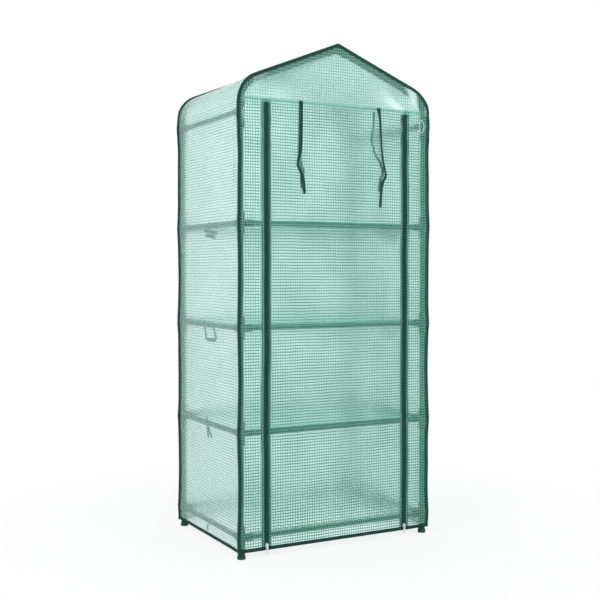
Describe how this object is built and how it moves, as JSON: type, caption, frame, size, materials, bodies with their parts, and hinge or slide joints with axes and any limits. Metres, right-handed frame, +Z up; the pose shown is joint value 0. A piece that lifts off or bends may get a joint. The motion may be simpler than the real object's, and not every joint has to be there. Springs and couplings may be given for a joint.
{
  "type": "shelf greenhouse",
  "caption": "Small walk-up shelf greenhouse: push-fit tube frame with wire shelves, gable cover of translucent mesh film, zipped door that rolls up and tie straps.",
  "frame": {"origin": "centre of the bounding box on the ground, between the four feet", "axes": "+X to the right seen from the front, +Y from the front to the back, +Z up"},
  "size_m": [0.69, 0.49, 1.58],
  "materials": {
    "tube_paint": "satin",
    "connector_plastic": "matte",
    "shelf_wire": "satin",
    "cover_film": "gloss",
    "edge_tape": "matte",
    "zip_tape": "matte",
    "zip_metal": "polished",
    "strap_web": "matte",
    "white_tape": "matte"
  },
  "bodies": {
    "frame": {"feet": "connector_plastic", "leg_tubes": "tube_paint", "posts": "tube_paint", "shelf_rails_1": "tube_paint", "shelf_rails_2": "tube_paint", "shelf_rails_3": "tube_paint", "shelf_rails_4": "tube_paint", "corner_connectors_1": "connector_plastic", "corner_connectors_2": "connector_plastic", "corner_connectors_3": "connector_plastic", "corner_connectors_4": "connector_plastic", "wire_shelf_1": "shelf_wire", "wire_shelf_2": "shelf_wire", "wire_shelf_3": "shelf_wire", "wire_shelf_4": "shelf_wire", "eave_connectors": "connector_plastic", "eave_rails": "tube_paint", "rafters": "tube_paint", "ridge_tube": "tube_paint", "ridge_connectors": "connector_plastic", "side_panel_left": "cover_film", "side_panel_right": "cover_film", "roof_panel_left": "cover_film", "roof_panel_right": "cover_film", "back_panel": "cover_film", "front_gable": "cover_film", "front_strip_left": "cover_film", "front_strip_right": "cover_film", "front_binding": "edge_tape", "back_binding": "edge_tape", "hem_binding": "edge_tape", "zip_tracks": "zip_tape", "inner_straps": "strap_web", "cover_ties": "strap_web", "corner_ties": "white_tape", "door_top": "cover_film"},
    "door_slat_01": {"door_slat_01": "cover_film"},
    "door_slat_02": {"door_slat_02": "cover_film"},
    "door_slat_03": {"door_slat_03": "cover_film"},
    "door_slat_04": {"door_slat_04": "cover_film"},
    "door_slat_05": {"door_slat_05": "cover_film"},
    "door_slat_06": {"door_slat_06": "cover_film"},
    "door_slat_07": {"door_slat_07": "cover_film"},
    "door_slat_08": {"door_slat_08": "cover_film"},
    "door_slat_09": {"door_slat_09": "cover_film"},
    "door_slat_10": {"door_slat_10": "cover_film"},
    "door_slat_11": {"door_slat_11": "cover_film"},
    "door_slat_12": {"door_slat_12": "cover_film"},
    "door_slat_13": {"door_slat_13": "cover_film"},
    "door_slat_14": {"door_slat_14": "cover_film"},
    "door_slat_15": {"door_slat_15": "cover_film"},
    "door_slat_16": {"door_slat_16": "cover_film"},
    "zip_slider_left": {"zip_slider_left": "zip_metal"},
    "zip_pull_left": {"zip_pull_left": "zip_metal"},
    "strap_left_upper": {"strap_left_upper": "strap_web"},
    "strap_left_lower": {"strap_left_lower": "strap_web"},
    "zip_slider_right": {"zip_slider_right": "zip_metal"},
    "zip_pull_right": {"zip_pull_right": "zip_metal"},
    "strap_right_upper": {"strap_right_upper": "strap_web"},
    "strap_right_lower": {"strap_right_lower": "strap_web"}
  },
  "joints": [
    {"name": "door_roll", "type": "hinge", "parent": "frame", "child": "door_slat_01", "pos_m": [0, -0.2389, 1.24125], "axis": [-1, 0, 0], "range_deg": [0, 72], "deforming": ["strap_left_upper", "strap_left_lower", "strap_right_upper", "strap_right_lower"]},
    {"name": "door_fold_02", "type": "hinge", "parent": "door_slat_01", "child": "door_slat_02", "pos_m": [0, -0.2389, 1.11679], "axis": [-1, 0, 0], "range_deg": [0, 90]},
    {"name": "door_fold_03", "type": "hinge", "parent": "door_slat_02", "child": "door_slat_03", "pos_m": [0, -0.2389, 1.00105], "axis": [-1, 0, 0], "range_deg": [0, 90]},
    {"name": "door_fold_04", "type": "hinge", "parent": "door_slat_03", "child": "door_slat_04", "pos_m": [0, -0.2389, 0.8934], "axis": [-1, 0, 0], "range_deg": [0, 90]},
    {"name": "door_fold_05", "type": "hinge", "parent": "door_slat_04", "child": "door_slat_05", "pos_m": [0, -0.2389, 0.79329], "axis": [-1, 0, 0], "range_deg": [0, 90]},
    {"name": "door_fold_06", "type": "hinge", "parent": "door_slat_05", "child": "door_slat_06", "pos_m": [0, -0.2389, 0.70019], "axis": [-1, 0, 0], "range_deg": [0, 90]},
    {"name": "door_fold_07", "type": "hinge", "parent": "door_slat_06", "child": "door_slat_07", "pos_m": [0, -0.2389, 0.6136], "axis": [-1, 0, 0], "range_deg": [0, 90]},
    {"name": "door_fold_08", "type": "hinge", "parent": "door_slat_07", "child": "door_slat_08", "pos_m": [0, -0.2389, 0.53308], "axis": [-1, 0, 0], "range_deg": [0, 90]},
    {"name": "door_fold_09", "type": "hinge", "parent": "door_slat_08", "child": "door_slat_09", "pos_m": [0, -0.2389, 0.45819], "axis": [-1, 0, 0], "range_deg": [0, 90]},
    {"name": "door_fold_10", "type": "hinge", "parent": "door_slat_09", "child": "door_slat_10", "pos_m": [0, -0.2389, 0.38854], "axis": [-1, 0, 0], "range_deg": [0, 90]},
    {"name": "door_fold_11", "type": "hinge", "parent": "door_slat_10", "child": "door_slat_11", "pos_m": [0, -0.2389, 0.32377], "axis": [-1, 0, 0], "range_deg": [0, 90]},
    {"name": "door_fold_12", "type": "hinge", "parent": "door_slat_11", "child": "door_slat_12", "pos_m": [0, -0.2389, 0.26354], "axis": [-1, 0, 0], "range_deg": [0, 90]},
    {"name": "door_fold_13", "type": "hinge", "parent": "door_slat_12", "child": "door_slat_13", "pos_m": [0, -0.2389, 0.20752], "axis": [-1, 0, 0], "range_deg": [0, 90]},
    {"name": "door_fold_14", "type": "hinge", "parent": "door_slat_13", "child": "door_slat_14", "pos_m": [0, -0.2389, 0.15542], "axis": [-1, 0, 0], "range_deg": [0, 90]},
    {"name": "door_fold_15", "type": "hinge", "parent": "door_slat_14", "child": "door_slat_15", "pos_m": [0, -0.2389, 0.10697], "axis": [-1, 0, 0], "range_deg": [0, 90]},
    {"name": "door_fold_16", "type": "hinge", "parent": "door_slat_15", "child": "door_slat_16", "pos_m": [0, -0.2389, 0.06191], "axis": [-1, 0, 0], "range_deg": [0, 90]},
    {"name": "strap_left_swing", "type": "hinge", "parent": "frame", "child": "strap_left_upper", "pos_m": [-0.14, -0.2401, 1.38125], "axis": [-1, 0, 0], "range_deg": [0, 70]},
    {"name": "strap_left_hang", "type": "hinge", "parent": "strap_left_upper", "child": "strap_left_lower", "pos_m": [-0.14, -0.2401, 1.20925], "axis": [-1, 0, 0], "range_deg": [-88, 0]},
    {"name": "strap_right_swing", "type": "hinge", "parent": "frame", "child": "strap_right_upper", "pos_m": [0.14, -0.2401, 1.38125], "axis": [-1, 0, 0], "range_deg": [0, 70]},
    {"name": "strap_right_hang", "type": "hinge", "parent": "strap_right_upper", "child": "strap_right_lower", "pos_m": [0.14, -0.2401, 1.20925], "axis": [-1, 0, 0], "range_deg": [-88, 0]},
    {"name": "zip_slide_left", "type": "slide", "parent": "frame", "child": "zip_slider_left", "axis": [0, 0, 1], "range_m": [0, 1.338]},
    {"name": "pull_swing_left", "type": "hinge", "parent": "zip_slider_left", "child": "zip_pull_left", "pos_m": [-0.252, -0.2435, 0.036], "axis": [-1, 0, 0], "range_deg": [0, 170]},
    {"name": "zip_slide_right", "type": "slide", "parent": "frame", "child": "zip_slider_right", "axis": [0, 0, 1], "range_m": [0, 1.338]},
    {"name": "pull_swing_right", "type": "hinge", "parent": "zip_slider_right", "child": "zip_pull_right", "pos_m": [0.252, -0.2435, 0.036], "axis": [-1, 0, 0], "range_deg": [0, 170]}
  ],
  "couplings": [
    {"joint": "door_fold_02", "follows": "door_roll", "ratio": 1.25},
    {"joint": "door_fold_03", "follows": "door_roll", "ratio": 1.25},
    {"joint": "door_fold_04", "follows": "door_roll", "ratio": 1.25},
    {"joint": "door_fold_05", "follows": "door_roll", "ratio": 1.25},
    {"joint": "door_fold_06", "follows": "door_roll", "ratio": 1.25},
    {"joint": "door_fold_07", "follows": "door_roll", "ratio": 1.25},
    {"joint": "door_fold_08", "follows": "door_roll", "ratio": 1.25},
    {"joint": "door_fold_09", "follows": "door_roll", "ratio": 1.25},
    {"joint": "door_fold_10", "follows": "door_roll", "ratio": 1.25},
    {"joint": "door_fold_11", "follows": "door_roll", "ratio": 1.25},
    {"joint": "door_fold_12", "follows": "door_roll", "ratio": 1.25},
    {"joint": "door_fold_13", "follows": "door_roll", "ratio": 1.25},
    {"joint": "door_fold_14", "follows": "door_roll", "ratio": 1.25},
    {"joint": "door_fold_15", "follows": "door_roll", "ratio": 1.25},
    {"joint": "door_fold_16", "follows": "door_roll", "ratio": 1.25},
    {"joint": "strap_left_swing", "follows": "door_roll", "ratio": 0.9722},
    {"joint": "strap_left_hang", "follows": "door_roll", "ratio": -1.2222},
    {"joint": "strap_right_swing", "follows": "door_roll", "ratio": 0.9722},
    {"joint": "strap_right_hang", "follows": "door_roll", "ratio": -1.2222}
  ]
}
